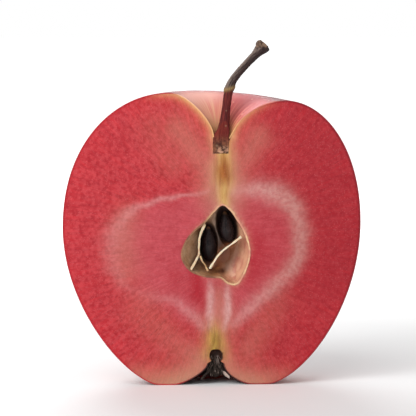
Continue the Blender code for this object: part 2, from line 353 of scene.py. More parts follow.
def build_specks(group, given):
    cells = put(group, "TexVoronoi", {"Vector": given["Vector"], "Scale": given["Fineness"]})
    chance = put(group, "SeparateColor", {"Color": cells.outputs["Color"]})
    kept = calc("LESS_THAN", chance.outputs["Red"], given["Share"])
    size = times(given["Size"], calc("ADD", chance.outputs["Green"], 0.5))
    core = times(size, 0.5)
    return times(fade(cells.outputs["Distance"], core, size, 1.0, 0.0), kept)


MOTTLE = effect("mottle", {"Fineness": 500.0, "Spread": 0.2}, build_mottle)
STREAKS = effect("streaks", {"Across": 20.0, "Along": 2.0, "Spread": 0.2}, build_streaks)
SPECKS = effect("specks", {"Fineness": 300.0, "Size": 0.1, "Share": 0.5}, build_specks)


class Paint:
    """A material under way: its shader and where its patterns lie."""

    def __init__(self, name, roughness, **sockets):
        self.material = bpy.data.materials.new(name)
        self.material.use_nodes = True
        self.tree = self.material.node_tree
        self.shader = self.tree.nodes["Principled BSDF"]
        self.shader.inputs["Roughness"].default_value = roughness
        for socket, value in sockets.items():
            self.shader.inputs[socket.replace("_", " ")].default_value = value
        self.position = put(self.tree, "TexCoord").outputs["Object"]
        self.grain = put(self.tree, "Attribute", attribute_name="grain").outputs["Vector"]
        self.colour = None

    def lay(self, share, over, strength=None):
        """Lays a colour over what is there, by a pattern or a mask's name, at a strength."""
        if isinstance(share, str):
            share = self.mask(share)
        if strength is not None:
            share = times(share, strength)
        self.colour = tint(share, self.colour, over)
        self.set("Base Color", self.colour)

    def mask(self, name):
        """A mask that was worked out on the mesh."""
        return put(self.tree, "Attribute", attribute_name=name).outputs["Fac"]

    def pattern(self, group, vector=None, **values):
        """The mask that an effect gives with these numbers, fixed in space or along the grain."""
        values["Vector"] = self.position if vector is None else vector
        return put(self.tree, "Group", values, node_tree=group).outputs["Mask"]

    def set(self, socket, value):
        self.tree.links.new(value, self.shader.inputs[socket])

    def relief(self, *layers):
        """Bumps the surface by masks, each given with its height in millimetres."""
        normal = None
        for height, mask in layers:
            bump = put(self.tree, "Bump", {"Strength": 1.0, "Distance": height * MM, "Height": mask})
            if normal:
                self.tree.links.new(normal, bump.inputs["Normal"])
            normal = bump.outputs["Normal"]
        self.set("Normal", normal)

    def cover(self, piece):
        """Gives the piece this material all over."""
        piece.data.materials.clear()
        piece.data.materials.append(self.material)
        piece.data.polygons.foreach_set("material_index", [0] * len(piece.data.polygons))


def on_cut(x, depth, z, normal):
    return normal.y < -0.99 and depth < ON_CUT


def in_core(x, depth, z, normal):
    near = math.hypot(x - CORE_X, z - CORE_Z) < CORE_RADIUS and depth < CORE_DEPTH
    return near and not on_cut(x, depth, z, normal)


def in_socket(x, depth, z, normal):
    return math.hypot(x - PIT_X, depth) < SOCKET_RADIUS and SOCKET_FLOOR_Z < z < PIT_Z


def in_tube(x, depth, z, normal):
    return math.hypot(x - EYE_X, depth) < TUBE_RADIUS and EYE_Z < z < TUBE_TOP_Z


def inside(*face):
    return any(test(*face) for test in (on_cut, in_core, in_socket, in_tube))


def nearness(x, depth, middle_x, reach):
    """1 at a hollow's middle, falling to 0 at its rim, which is nearer on one side."""
    out = np.hypot(x - middle_x, depth)
    toward_right = (1 + (x - middle_x) / np.maximum(out, 0.1)) / 2
    return np.clip(1 - out / (reach["left"] + (reach["right"] - reach["left"]) * toward_right), 0, 1)


def hug_stem(piece, reach, dip):
    """Draws the hollow's foot in until it meets the stem, and takes its ring down a little."""
    x, depth, z = places_of(piece)
    out = np.hypot(x - PIT_X, depth)
    wall = (z > SOCKET_WALL_Z) & (z < PIT_Z + SOCKET_RING)
    socket = wall & (out > 0.5) & (out < SOCKET_RADIUS + 0.05)
    ring = socket & (z > PIT_Z - SOCKET_RING)
    hug = np.where(socket, reach / np.maximum(out, 0.5), 1)
    hug = np.where(ring, np.minimum(hug, 1), hug)
    put_places(piece, PIT_X + (x - PIT_X) * hug, depth * hug, z - dip * ring)


skin = copy_of("apple_half", "apple_skin")
delete_faces(skin, inside)
edit(skin)
bpy.ops.mesh.tris_convert_to_quads(face_threshold=math.radians(60), shape_threshold=math.radians(60))
alone()
hug_stem(skin, STEM_GAP_REACH, STEM_GAP_DIP)
subdivide(skin, 2)
x, depth, z = places_of(skin)
inward = normals_of(skin)
dimple = (1 + waves(x, depth, z, SKIN_WAVE_SIZE)) * SKIN_WAVE * smooth_between(0, 3, depth)
dimple *= smooth_between(0.6, 3, z)
put_places(skin, x - inward[0] * dimple, depth - inward[1] * dimple, z - inward[2] * dimple)
modify(skin, "SOLIDIFY", thickness=SKIN_THICK * MM, offset=-1, use_even_offset=True)
bpy.ops.object.shade_smooth_by_angle(angle=CREASE)
x, depth, z = places_of(skin)
out = np.hypot(x - AXIS_X, depth)
turn = np.arctan2(depth, x - AXIS_X)
write_grain(skin, np.cos(turn), np.sin(turn), np.arctan2(z - SKIN_MIDDLE_Z, out))
write_mask(skin, "hollow", nearness(x, depth, PIT_X, RIM_REACH) * smooth_between(52, 56, z))
write_mask(skin, "cut_edge", smooth_between(0.35, 0.15, depth))
# Where the skin lies down in the basin round the calyx; below, that skin is painted near black as painted
# shade.
write_mask(skin, "basin", nearness(x, depth, EYE_X, FOOT_REACH) * smooth_between(14, 10, z))
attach(skin, "root")
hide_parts("apple_half")

peel = Paint("waxy_red_peel", 0.34, Coat_Weight=0.15, Coat_Roughness=0.14)
cloudy = peel.pattern(MOTTLE, Fineness=70.0, Spread=0.16)
peel.colour = tint(cloudy, (126, 8, 26), (172, 20, 34))
broad_streaks = peel.pattern(STREAKS, peel.grain, Across=9.0, Along=1.5, Spread=0.17)
peel.lay(broad_streaks, (92, 4, 24), 0.6)
fine_streaks = peel.pattern(STREAKS, peel.grain, Across=38.0, Along=4.0, Spread=0.16)
peel.lay(fine_streaks, (204, 44, 44), fade(cloudy, 0.0, 1.0, 0.06, 0.34))
hollow = peel.mask("hollow")
basin = peel.mask("basin")
facing = put(peel.tree, "SeparateXYZ", {"Vector": peel.grain}).outputs
low_down = fade(facing["Z"], -0.55, -1.05)
patches = peel.pattern(MOTTLE, Fineness=110.0, Spread=0.08)
peel.lay(times(low_down, patches), (206, 104, 62), 0.5)
fingers = peel.pattern(STREAKS, peel.grain, Across=16.0, Along=2.0, Spread=0.2)
# Painted light and shade: in the hollow and along the cut edge the skin is paler on the fruit's left,
# where the daylight comes from, and darker on its right.
shade_to_right = fade(facing["X"], -0.25, 0.6)
# The hollow's lip is pale pink skin with a painted highlight in it, brightest on the left.
lip_and_highlight = tint(shade_to_right, (250, 184, 170), (200, 84, 86))
slope = tint(shade_to_right, (228, 128, 118), (182, 60, 64))
peel.lay(fade(hollow, 0.0, 0.30), lip_and_highlight)
pale_finger = tint(shade_to_right, (240, 182, 146), (220, 118, 104))
peel.lay(fade(hollow, 0.28, 0.65), tint(fingers, slope, pale_finger))
russet = times(fade(hollow, 0.62, 0.95), calc("ADD", fingers, 0.3))
peel.lay(calc("MINIMUM", russet, 0.9), (206, 164, 98))
# Painted shade: the skin in the basin round the calyx is painted near black.
peel.lay(fade(basin, 0.12, 0.50), tint(fingers, (30, 22, 22), (62, 40, 34)))
lenticels = peel.pattern(SPECKS, Fineness=400.0, Size=0.12, Share=0.6)
peel.lay(lenticels, (226, 150, 132), 0.6)
edge = tint(shade_to_right, (184, 26, 40), (138, 14, 32))
hollow_edge = tint(shade_to_right, (232, 180, 130), (212, 126, 112))
hollow_edge = tint(fade(hollow, 0.5, 0.8), hollow_edge, (222, 170, 112))
edge = tint(fade(hollow, 0.0, 0.25), edge, hollow_edge)
# The cut edge in the basin is painted dark brown, as the same painted shade.
edge = tint(fade(basin, 0.2, 0.6), edge, (84, 36, 30))
peel.lay("cut_edge", edge, 0.85)
pores = peel.pattern(MOTTLE, Fineness=1400.0, Spread=0.3)
dull = fade(calc("MAXIMUM", hollow, basin), 0.0, 0.2, 0.0, 0.22)
peel.set("Roughness", calc("ADD", fade(pores, 0.0, 1.0, 0.28, 0.40), dull))
peel.set("Coat Weight", fade(dull, 0.0, 0.22, 0.15, 0.0))
peel.relief((0.008, pores), (0.02, lenticels), (0.004, fine_streaks))
peel.cover(skin)

# Flesh: the red-pink cut flesh, one body inside the skin. A knife has left its face flat
# and moist, with fibres that run out from the core, a pale core line and a woody strand.
FACE_CELL = 0.36
FACE_SPAN = 75.0
FACE_SINK = 0.015
FIBRE_MIDDLE = (2.0, 36.0)
FIBRE_SPREAD = 13.0
MARK_WANDER = 0.55
RIM_FADE = {"cream": 0.75, "peach": 4.6, "mouth": 0.7}
CORE_RELIEF, CORE_DEEP_RELIEF = 0.08, 0.2
DEEP_RELIEF = 0.45
SOCKET_REACH, SOCKET_DIP = 1.87, 1.2
EYE_RIM = ((1.1, 7.0), 1.68)
EYE_EDGE_REACH, EYE_EDGE_DEPTH = 2.2, 0.3
DARK_TUBE_RADIUS, DARK_SOCKET_Z = 2.4, 55.0
# Each mark on the face is a soft line through (x, z, half width, strength).
LINES = {
    "pale_line": (
        (
            (-0.9, 46.9, 0.5, 0.25), (-5.9, 46.2, 0.5, 0.40), (-10.2, 45.6, 0.6, 0.42),
            (-13.9, 44.7, 0.7, 0.42), (-17.6, 43.4, 0.9, 0.36), (-20.7, 41.3, 1.5, 0.30),
            (-23.2, 38.2, 2.2, 0.23), (-24.4, 35.1, 2.4, 0.22), (-24.2, 31.4, 2.3, 0.20),
            (-22.9, 27.7, 2.0, 0.20), (-19.5, 23.5, 1.8, 0.12), (-14.0, 21.5, 1.5, 0.14),
            (-9.0, 20.7, 1.3, 0.26), (-6.5, 18.6, 1.3, 0.32), (-4.0, 16.2, 1.4, 0.38),
            (-2.2, 14.2, 1.2, 0.3),
        ),
        (
            (4.4, 46.8, 1.3, 0.2), (7.5, 47.4, 1.7, 0.36), (10.3, 47.6, 2.0, 0.55),
            (14.4, 46.9, 2.7, 0.62), (18.0, 44.9, 2.6, 0.56), (20.6, 41.0, 2.3, 0.52),
            (21.5, 36.2, 2.2, 0.50), (20.9, 31.5, 2.1, 0.50), (18.6, 27.4, 2.1, 0.50),
            (15.0, 23.8, 2.0, 0.50), (10.9, 20.3, 1.9, 0.48), (8.0, 17.3, 1.6, 0.42),
            (5.6, 15.0, 1.3, 0.3),
        ),
        ((-0.3, 25.5, 0.6, 0.25), (-0.4, 22.0, 0.8, 0.7), (-0.5, 18.0, 0.9, 0.82), (-0.2, 13.5, 0.8, 0.4)),
        ((3.7, 24.5, 0.6, 0.3), (3.8, 21.0, 0.8, 0.75), (3.7, 17.5, 0.9, 0.82), (3.2, 13.5, 0.8, 0.4)),
    ),
    "halo": (
        ((2.6, 57.0, 4.2, 0.6), (2.6, 50.0, 5.2, 0.85), (2.6, 44.0, 4.2, 0.6)),
        ((-8.0, 62.0, 4.0, 0.3), (-1.0, 53.0, 3.6, 0.35)),
        ((11.0, 60.0, 3.4, 0.3), (6.0, 52.0, 3.6, 0.3)),
        ((-20.5, 41.0, 3.4, 0.22), (-21.5, 35.0, 3.8, 0.26), (-20.5, 28.0, 3.6, 0.22)),
        ((-17.0, 18.5, 5.0, 0.14), (-10.0, 11.0, 4.0, 0.2), (-5.0, 8.0, 3.0, 0.3)),
        ((-13.0, 62.0, 5.0, 0.12), (-9.0, 54.0, 4.0, 0.15)),
        ((16.0, 20.0, 4.0, 0.12), (9.0, 9.0, 3.4, 0.25)),
        ((1.7, 22.0, 2.6, 0.35), (1.6, 15.0, 4.4, 0.5), (1.2, 9.0, 3.6, 0.35)),
    ),
    "strand": (
        ((2.8, 58.0, 2.0, 1.0), (2.8, 50.0, 2.0, 1.0), (2.9, 46.5, 1.7, 1.0), (2.9, 43.6, 1.3, 0.9)),
    ),
    "amber": (
        (
            (2.9, 56.0, 1.6, 0.15), (2.9, 53.8, 1.8, 0.85), (2.9, 50.6, 1.9, 1.0),
            (2.8, 48.4, 1.3, 0.4), (2.8, 46.0, 1.0, 0.1),
        ),
    ),
    "crimson": (
        ((-3.8, 26.5, 2.2, 0.8), (-3.4, 22.5, 2.4, 0.9), (-2.0, 18.5, 1.4, 0.5)),
        ((8.5, 38.0, 1.6, 0.3), (11.0, 33.0, 2.6, 0.6), (9.0, 26.5, 2.4, 0.5)),
        ((-9.0, 27.0, 2.2, 0.35), (-8.5, 23.0, 2.2, 0.25)),
    ),
    "olive": (((0.6, 14.2, 1.7, 0.4), (0.7, 11.5, 2.3, 0.9), (0.9, 8.0, 2.6, 0.9)),),
    "cream": (
        ((-14.0, 70.8, 3.0, 0.2), (-8.5, 69.5, 3.0, 0.9), (-3.5, 66.0, 3.0, 0.95), (-1.0, 60.0, 3.0, 0.9)),
        ((13.0, 68.0, 3.0, 0.2), (8.8, 65.2, 3.0, 0.65), (6.0, 60.2, 3.0, 0.7)),
    ),
    "peach": (
        ((-1.8, 7.5, 2.4, 0.8), (-4.5, 4.2, 3.4, 0.95), (-9.5, 1.8, 4.4, 1.0), (-18.0, 3.0, 3.2, 0.35)),
        ((3.6, 7.5, 2.2, 0.6), (5.5, 3.5, 3.2, 0.75), (10.0, 1.6, 4.0, 0.85), (17.5, 2.6, 3.0, 0.25)),
    ),
    "mouth": (
        ((4.4, 43.5, 2.6, 0.75), (5.8, 40.0, 2.6, 0.9), (7.2, 36.4, 2.6, 0.85), (8.8, 33.6, 2.0, 0.35)),
        ((7.4, 28.0, 2.0, 0.3), (5.4, 25.6, 2.2, 0.8), (2.6, 27.2, 2.0, 0.55), (-1.0, 27.6, 1.6, 0.5)),
        ((1.6, 43.0, 2.2, 0.6), (-0.6, 39.8, 2.2, 0.45), (-2.4, 37.6, 1.8, 0.6)),
    ),
}
HEART_LINE = (
    (-24.0, 36.0), (-15.0, 44.5), (0.0, 47.5), (14.0, 47.0),
    (21.0, 36.0), (14.0, 23.0), (2.0, 14.0), (-15.0, 21.0),
)


def smooth_route(stations, steps):
    """Points of a smooth curve through the given ones, of any number of values each."""
    stations = np.array(stations, float)
    padded = np.vstack((stations[:1], stations, stations[-1:]))
    t = (np.arange(steps) / steps)[:, None]
    spans = [
        b + 0.5 * ((c - a) * t + (2 * a - 5 * b + 4 * c - d) * t ** 2 + (3 * b - a - 3 * c + d) * t ** 3)
        for a, b, c, d in zip(padded, padded[1:], padded[2:], padded[3:])
    ]
    return np.vstack((*spans, stations[-1:]))


def to_runs(x, z, starts, ends):
    """How far each point is from each straight run, and how far along the run it lies."""
    way = ends - starts
    from_x, from_z = x[:, None] - starts[:, 0], z[:, None] - starts[:, 1]
    along = np.clip((from_x * way[:, 0] + from_z * way[:, 1]) / (way ** 2).sum(1), 0, 1)
    return np.hypot(from_x - along * way[:, 0], from_z - along * way[:, 1]), along


def soft_line(x, z, stations):
    """How strongly a soft line marks each point."""
    route = smooth_route(stations, 5)
    starts, ends = route[:-1], route[1:]
    away, along = to_runs(x, z, starts[:, :2], ends[:, :2])
    half_width = starts[:, 2] + along * (ends[:, 2] - starts[:, 2])
    strength = starts[:, 3] + along * (ends[:, 3] - starts[:, 3])
    return (strength * np.exp(-(away / half_width) ** 2)).max(axis=1)


def inside_ring(x, z, ring):
    """How far inside a ring of points each point lies, negative outside it."""
    route = smooth_route((*ring, ring[0]), 6)
    starts, ends = route[:-1], route[1:]
    away, _ = to_runs(x, z, starts, ends)
    crosses = (starts[:, 1] > z[:, None]) != (ends[:, 1] > z[:, None])
    rise = np.where(np.abs(ends[:, 1] - starts[:, 1]) < 1e-9, 1e-9, ends[:, 1] - starts[:, 1])
    cross_x = starts[:, 0] + (z[:, None] - starts[:, 1]) * (ends[:, 0] - starts[:, 0]) / rise
    odd = ((crosses & (x[:, None] < cross_x)).sum(1) % 2).astype(bool)
    return np.where(odd, away.min(1), -away.min(1))


def edge_runs(piece, wanted):
    """The straight runs where the cut face meets the faces that a test picks out."""
    mesh = piece.data
    sides = {}
    for face in mesh.polygons:
        where = (*place(face.center), face.normal)
        side = "cut" if on_cut(*where) else "wanted" if wanted(*where) else "other"
        for key in face.edge_keys:
            sides.setdefault(key, set()).add(side)
    ends = [
        [place(mesh.vertices[index].co)[::2] for index in key]
        for key, found in sides.items() if found == {"cut", "wanted"}
    ]
    ends = np.array(ends)
    return ends[:, 0], ends[:, 1]


flesh = copy_of("apple_half", "apple_flesh")
rim_runs = edge_runs(flesh, lambda *face: not inside(*face))
mouth_runs = edge_runs(flesh, in_core)


def draw_back(piece, wanted, amount, deeper):
    """Moves some faces' vertices inwards, more behind the cut, and on the cut in its plane."""
    ways = {}
    for face in piece.data.polygons:
        if wanted(*place(face.center), face.normal):
            for index in face.vertices:
                ways[index] = ways.get(index, Vector()) - face.normal * face.area
    for index, way in ways.items():
        vertex = piece.data.vertices[index]
        behind = place(vertex.co)[1]
        if behind < ON_CUT:
            way.y = 0
        vertex.co += way.normalized() * (amount + deeper * smooth_between(0.3, 3.0, behind)) * MM


hug_stem(flesh, SOCKET_REACH, SOCKET_DIP)
draw_back(flesh, lambda *face: not inside(*face), SKIN_THICK * 0.7, DEEP_RELIEF)
draw_back(flesh, in_core, CORE_RELIEF, CORE_DEEP_RELIEF)
select_faces(flesh, in_tube)
bpy.ops.mesh.subdivide(number_cuts=2, smoothness=1.0)
alone()
x, depth, z = places_of(flesh)
from_eye = np.hypot(x - EYE_RIM[0][0], z - EYE_RIM[0][1])
eye_edge = (depth < EYE_EDGE_DEPTH) & (from_eye < EYE_EDGE_REACH)
put_places(flesh, x, np.where(eye_edge, 0, depth), z)
across_face = round(FACE_SPAN / FACE_CELL)
bpy.ops.mesh.primitive_grid_add(
    x_subdivisions=across_face, y_subdivisions=across_face, size=FACE_SPAN * MM,
    location=(0, CUT_Y + FACE_SINK * MM, (FACE_SPAN / 2 - 1) * MM), rotation=(math.radians(90), 0, 0),
)
slab = bpy.context.object
bpy.ops.object.transform_apply(location=True, rotation=True, scale=True)
bpy.ops.object.mode_set(mode="EDIT")
bpy.ops.mesh.extrude_region_move(TRANSFORM_OT_translate={"value": (0, 45 * MM, 0)})
bpy.ops.mesh.select_all(action="SELECT")
bpy.ops.mesh.normals_make_consistent(inside=False)
alone()
modify(flesh, "BOOLEAN", operation="INTERSECT", solver="MANIFOLD", object=slab)
bpy.data.objects.remove(slab)

x, depth, z = places_of(flesh)
face = depth < FACE_SINK + 0.01
from_skin = to_runs(x, z, *rim_runs)[0].min(1)
from_core = to_runs(x, z, *mouth_runs)[0].min(1)
elliptic = np.arccosh(((z - FIBRE_MIDDLE[1]) + 1j * (x - FIBRE_MIDDLE[0])) / FIBRE_SPREAD)
side = np.sin(elliptic.imag) * smooth_between(0.0, 0.4, elliptic.real)
write_grain(flesh, np.cos(elliptic.imag), side, elliptic.real)
wander_x = x + MARK_WANDER * waves(x, depth, z, 3.0)
wander_z = z + MARK_WANDER * waves(x + 50, depth, z, 3.0)
for name, lines in LINES.items():
    marks = [soft_line(wander_x, wander_z, line) for line in lines]
    from_edge = from_core if name == "mouth" else from_skin
    under_edge = np.exp(-from_edge / RIM_FADE[name]) if name in RIM_FADE else 1.0
    write_mask(flesh, name, np.max(marks, axis=0) * face * under_edge)
write_mask(flesh, "heart", smooth_between(-2.5, 3.5, inside_ring(wander_x, wander_z, HEART_LINE)))
write_mask(flesh, "from_skin", from_skin)
# Painted shade: the walls of the calyx tube and the stem socket, and a round patch of the face over the
# tube's mouth, are marked for dark brown.
tube = (np.hypot(x - EYE_X, depth) < DARK_TUBE_RADIUS) & (z > EYE_Z - 0.4) & (z < TUBE_TOP_Z)
socket = (np.hypot(x - PIT_X, depth) < SOCKET_RADIUS) & (z > DARK_SOCKET_Z) & (z < PIT_Z + SOCKET_RING)
from_eye = np.hypot(x - EYE_RIM[0][0], z - EYE_RIM[0][1])
around_eye = smooth_between(EYE_RIM[1] + 0.12, EYE_RIM[1] - 0.12, from_eye) * face
write_mask(flesh, "pit_shade", np.maximum((tube | socket) & ~face, around_eye))
# Painted shade: the face is marked to go darker towards its right, a little less low down, as if the light
# fell from the left.
write_mask(flesh, "shaded_right_side", smooth_between(-12, 34, x) * (1 - 0.4 * smooth_between(30, 14, z)))

ridges = np.array([
    noise.noise(Vector((a, b, c)))
    for a, b, c in zip(np.cos(elliptic.imag) * 24, side * 24, elliptic.real * 4)
])
sink = 0.05 + 0.045 * ridges + 0.03 * waves(x, depth, z, 2.2)
sink += 0.10 * np.exp(-(from_core / 0.7) ** 2) + 0.05 * np.exp(-(from_skin / 0.9) ** 2)
depth = np.where(face, depth + np.clip(sink, 0, 0.3), depth)
put_places(flesh, x, depth, z)
take_up(flesh)
bpy.ops.object.shade_smooth_by_angle(angle=CREASE)
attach(flesh, "root")
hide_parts("apple_half")

pulp = Paint(
    "red_apple_flesh", 0.45, Specular_IOR_Level=0.25,
    Subsurface_Weight=0.12, Subsurface_Scale=0.0012, Subsurface_Radius=(1.0, 0.25, 0.2),
)
from_skin = pulp.mask("from_skin")
shaded_right_side = pulp.mask("shaded_right_side")
heart = pulp.mask("heart")
pulp.colour = tint(heart, (168, 24, 33), (182, 64, 73))
# Painted shade: the flesh and its paler tone go darker towards the right, less so inside the core line.
right_shade = times(shaded_right_side, fade(heart, 0.0, 1.0, 0.85, 0.45))
pulp.lay(right_shade, (150, 17, 30))
light = tint(heart, (210, 60, 69), (213, 95, 104))
light = tint(right_shade, light, (181, 34, 45))
# The band under the skin is darker on the right, as painted shade.
pulp.lay(fade(from_skin, 7.0, 0.3), tint(shaded_right_side, (204, 20, 34), (158, 18, 32)), 0.6)
clouds = pulp.pattern(MOTTLE, Fineness=170.0, Spread=0.2)
pulp.lay(clouds, light, 0.26)
rays = pulp.pattern(STREAKS, pulp.grain, Across=12.0, Along=3.0, Spread=0.2)
pulp.lay(rays, light, 0.30)
swaths = pulp.pattern(STREAKS, pulp.grain, Across=16.0, Along=5.0, Spread=0.12)
# The dark swaths grow stronger towards the right, as painted shade.
pulp.lay(swaths, (154, 18, 34), fade(shaded_right_side, 0.2, 0.9, 0.08, 0.30))
quiet = fade(heart, 0.0, 1.0, 1.0, 0.5)
dashes = pulp.pattern(STREAKS, pulp.grain, Across=30.0, Along=6.0, Spread=0.16)
pulp.lay(dashes, (142, 20, 34), times(quiet, 0.34))
fibres = pulp.pattern(STREAKS, pulp.grain, Across=66.0, Along=5.0, Spread=0.13)
pulp.lay(fibres, (142, 20, 34), times(quiet, 0.42))
cells = pulp.pattern(MOTTLE, Fineness=1000.0, Spread=0.14)
# The pale speckle thins towards the right, as painted shade.
speckled = times(quiet, fade(shaded_right_side, 0.1, 0.8, 0.42, 0.22))
pulp.lay(cells, tint(0.22, light, (236, 132, 134)), speckled)
# Painted light: coral mottles brighten the outer left of the face, outside the core line, on the side the
# light falls from.
lit_outer_left = calc("SUBTRACT", 1.0, calc("MAXIMUM", heart, shaded_right_side))
coral = pulp.pattern(MOTTLE, Fineness=620.0, Spread=0.10)
pulp.lay(coral, (206, 62, 68), times(lit_outer_left, 0.24))
blotches = pulp.pattern(MOTTLE, Fineness=420.0, Spread=0.24)
pulp.lay(blotches, (158, 24, 36), 0.18)
pulp.lay("halo", (192, 138, 115))
pulp.lay("crimson", (166, 18, 36))
patchy = calc("ADD", times(cells, 0.3), 0.65)
pale = times(pulp.mask("pale_line"), patchy)
# The pale core line is greyer on the right, as painted shade.
pale_flesh = tint(shaded_right_side, (217, 168, 165), (196, 166, 152))
pulp.lay(calc("MINIMUM", pale, 0.85), pale_flesh)
pulp.lay("peach", (190, 141, 114))
cream = pulp.mask("cream")
pulp.lay(cream, (230, 190, 126))
pulp.lay("mouth", tint(cells, (208, 150, 124), (230, 196, 156)))
wood = pulp.pattern(STREAKS, Across=900.0, Along=160.0, Spread=0.2)
pulp.lay("strand", tint(wood, (190, 138, 72), (218, 182, 116)))
pulp.lay("amber", tint(wood, (134, 68, 22), (174, 104, 46)))
pulp.lay("olive", tint(wood, (138, 108, 40), (196, 160, 74)))
bare = fade(calc("MAXIMUM", cream, pulp.mask("peach")), 0.0, 0.3, 1.0, 0.0)
# The thin dark-red line under the skin is darker on the right, as painted shade.
pulp.lay(fade(from_skin, 0.8, 0.3), tint(shaded_right_side, (190, 30, 42), (134, 12, 28)), bare)
# Painted glints: tiny pale specks stand for light caught on the moist cut face; they also bump it
# slightly.
glints = pulp.pattern(SPECKS, Fineness=2600.0, Size=0.26, Share=0.6)
pulp.lay(glints, (236, 160, 160), 0.12)
# Painted shade: dark brown on the walls of the tube and the socket, and over the tube's mouth.
pulp.lay("pit_shade", (52, 30, 22))
pulp.set("Roughness", fade(blotches, 0.0, 1.0, 0.38, 0.55))
pulp.relief((0.03, fibres), (0.03, blotches), (0.03, cells), (0.012, glints))
pulp.cover(flesh)

# Core lining: the tough, papery wall of the seed chambers, part of the fruit itself. The
# knife has opened it, so its cream cut edge frames the hollow and its tan inside shows.
LINING_THICK = 0.38
LINING_VOXEL = 0.15
LINING_FRONT = 0.004
PATCHES = {
    # The left shell: its own tan, painted paler as painted light.
    "shell": (((-4.9, 36.0, 1.9, 0.9), (-5.9, 31.5, 2.8, 1.0), (-4.6, 28.6, 1.6, 0.9)),),
    "lobe": (
        ((6.8, 40.2, 1.2, 0.9), (8.2, 36.5, 1.6, 0.95), (8.0, 31.5, 2.2, 1.0), (5.6, 26.8, 2.3, 1.0)),
    ),
    "scoop": (((5.0, 33.0, 1.3, 0.95), (3.2, 30.8, 2.0, 1.0), (1.2, 28.4, 1.5, 0.9)),),
    # The septum: its own grey-tan, painted paler as painted light.
    "septum": (
        ((2.2, 42.6, 0.8, 0.8), (0.9, 40.0, 1.1, 0.95), (1.7, 37.0, 0.9, 0.9), (2.4, 34.6, 0.7, 0.6)),
    ),
    # Painted shade: dark brown in the pockets low in the core and along the crease under the membrane.
    "pocket_shade": (
        ((-4.5, 28.9, 0.8, 1.0), (-3.9, 29.6, 1.0, 1.0), (-3.3, 30.8, 0.6, 0.9)),
        ((-0.4, 27.9, 0.7, 1.0), (1.2, 27.6, 0.6, 0.6), (2.8, 27.4, 0.8, 1.0)),
        ((5.2, 33.2, 0.6, 0.8), (3.8, 32.0, 1.0, 1.0), (2.2, 30.0, 1.0, 1.0), (1.1, 28.7, 0.6, 0.9)),
    ),
    # Painted shade: the lining round the seeds is painted near black, where the chambers lie in deep
    # shade.
    "chamber": (
        ((3.6, 41.0, 1.6, 0.9), (4.6, 37.5, 2.6, 1.0), (3.0, 34.0, 1.8, 1.0)),
        ((0.2, 36.5, 1.8, 0.95), (-0.4, 33.0, 2.4, 1.0), (0.2, 30.0, 1.8, 0.95)),
    ),
}


def remesh(piece, voxel, smooth):
    modify(piece, "REMESH", mode="VOXEL", voxel_size=voxel * MM, use_smooth_shade=True)
    modify(piece, "SMOOTH", iterations=smooth)


def swell(piece, amount):
    """Moves each vertex out along its normal by an amount in millimetres."""
    x, depth, z = places_of(piece)
    out = normals_of(piece)
    put_places(piece, x + out[0] * amount, depth + out[1] * amount, z + out[2] * amount)


def extrude_rim(piece, forward):
    """Carries an open shell's rim forward by some millimetres."""
    edit(piece, "DESELECT")
    bpy.ops.mesh.select_mode(type="EDGE")
    bpy.ops.mesh.select_non_manifold(extend=False)
    bpy.ops.mesh.extrude_region_move(TRANSFORM_OT_translate={"value": (0, -forward * MM, 0)})
    alone()


def flatten_front(piece, front):
    """Presses what stands in front of a depth back onto it, as the knife left it."""
    x, depth, z = places_of(piece)
    put_places(piece, x, np.maximum(depth, front), z)
    edit(piece)
    bpy.ops.mesh.remove_doubles(threshold=0.02 * MM)
    alone()


lining = copy_of("apple_half", "core_lining")
delete_faces(lining, lambda *face: not in_core(*face))
extrude_rim(lining, 0.25)
modify(lining, "SOLIDIFY", thickness=LINING_THICK * MM, offset=-0.75)
remesh(lining, LINING_VOXEL, smooth=3)
x, depth, z = places_of(lining)
swell(lining, 0.07 * waves(x, depth, z, 1.5) + 0.03 * waves(x, depth, z, 0.6))
flatten_front(lining, LINING_FRONT)
x, depth, z = places_of(lining)
around = np.arctan2(z - CORE_Z, x - CORE_X)
write_grain(lining, np.cos(around), np.sin(around), depth / 5)
for name, lines in PATCHES.items():
    write_mask(lining, name, np.max([soft_line(x, z, line) for line in lines], axis=0))
write_mask(lining, "cut_edge", smooth_between(0.30, 0.12, depth))
write_mask(lining, "pale_rim", smooth_between(-1.0, 4.0, x + 0.2 * (z - CORE_Z)))
# Painted shade: the lining is marked to go dark more than about 4 mm behind the cut.
write_mask(lining, "deep", smooth_between(3.6, 5.2, depth))
take_up(lining)
bpy.ops.object.shade_smooth_by_angle(angle=CREASE)
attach(lining, "root")
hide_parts("apple_half")

parchment = Paint("core_parchment", 0.42)
veins = parchment.pattern(STREAKS, Across=900.0, Along=200.0, Spread=0.2)
fine = parchment.pattern(MOTTLE, Fineness=900.0, Spread=0.2)
broad = parchment.pattern(MOTTLE, Fineness=420.0, Spread=0.16)
parchment.colour = tint(veins, (150, 104, 72), (184, 138, 102))
# Painted shade: the chambers round the seeds are painted near black.
parchment.lay("chamber", tint(fine, (26, 18, 18), (52, 34, 30)))
# The left shell: tan, painted paler as painted light.
parchment.lay("shell", tint(broad, (204, 158, 120), (238, 200, 162)))
# The septum: grey-tan, painted paler as painted light.
parchment.lay("septum", tint(veins, (158, 132, 114), (200, 176, 152)))
parchment.lay("scoop", tint(fine, (166, 92, 44), (220, 154, 96)))
parchment.lay("lobe", tint(broad, (190, 116, 98), (222, 172, 138)))
parchment.lay("lobe", (212, 154, 124), veins)
# Painted shade: dark brown in the pockets and along the crease under the membrane.
parchment.lay("pocket_shade", tint(fine, (46, 20, 12), (92, 44, 24)))
